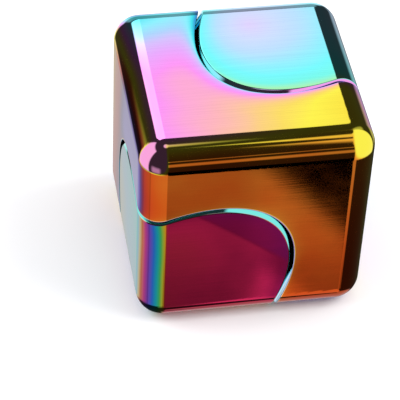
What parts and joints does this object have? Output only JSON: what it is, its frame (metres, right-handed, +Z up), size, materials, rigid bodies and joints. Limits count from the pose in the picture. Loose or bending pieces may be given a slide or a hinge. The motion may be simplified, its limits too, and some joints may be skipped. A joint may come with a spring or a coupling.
{
  "type": "corner-axis cube spinner",
  "caption": "Rainbow-plated metal cube fidget: a six-cornered ring spins on a ball bearing about the long diagonal while two opposite corner caps are pinched.",
  "frame": {"origin": "centre of the square footprint, on the bottom face", "axes": "+Z up; cube faces along X and Y; the spin axis is the long diagonal from the corner at -X -Y -Z to the corner at +X +Y +Z"},
  "size_m": [0.025, 0.025, 0.025],
  "materials": {
    "rainbow_ring": "polished rainbow vacuum plating over brushed zinc alloy",
    "rainbow_cap_upper": "polished rainbow vacuum plating over brushed zinc alloy",
    "rainbow_cap_lower": "polished rainbow vacuum plating over brushed zinc alloy",
    "bearing_steel": "ground bearing steel",
    "ball_steel": "polished balls",
    "cage_brass": "pressed brass",
    "shield_steel": "pressed sheet",
    "spring_steel": "hardened spring wire",
    "axle_steel": "turned steel"
  },
  "bodies": {
    "core": {"upper_corner_cap": "rainbow_cap_upper", "lower_corner_cap": "rainbow_cap_lower", "axle_sleeve": "axle_steel", "axle_stud": "axle_steel", "upper_spacer_washer": "axle_steel", "lower_spacer_washer": "axle_steel", "bearing_inner_race": "bearing_steel"},
    "ring": {"spinner_ring": "rainbow_ring", "bearing_outer_race": "bearing_steel", "bearing_shield_upper": "shield_steel", "bearing_shield_lower": "shield_steel", "shield_clip_upper": "spring_steel", "shield_clip_lower": "spring_steel", "bearing_retaining_ring": "spring_steel"},
    "cage": {"bearing_cage": "cage_brass", "bearing_balls": "ball_steel"}
  },
  "joints": [
    {"name": "ring_spin", "type": "hinge", "parent": "core", "child": "ring", "pos_m": [0, 0, 0.0125], "axis": [0.5774, 0.5774, 0.5774], "continuous": true},
    {"name": "cage_spin", "type": "hinge", "parent": "core", "child": "cage", "pos_m": [0, 0, 0.0125], "axis": [0.5774, 0.5774, 0.5774], "continuous": true}
  ],
  "couplings": [
    {"joint": "cage_spin", "follows": "ring_spin", "ratio": 0.6041}
  ]
}
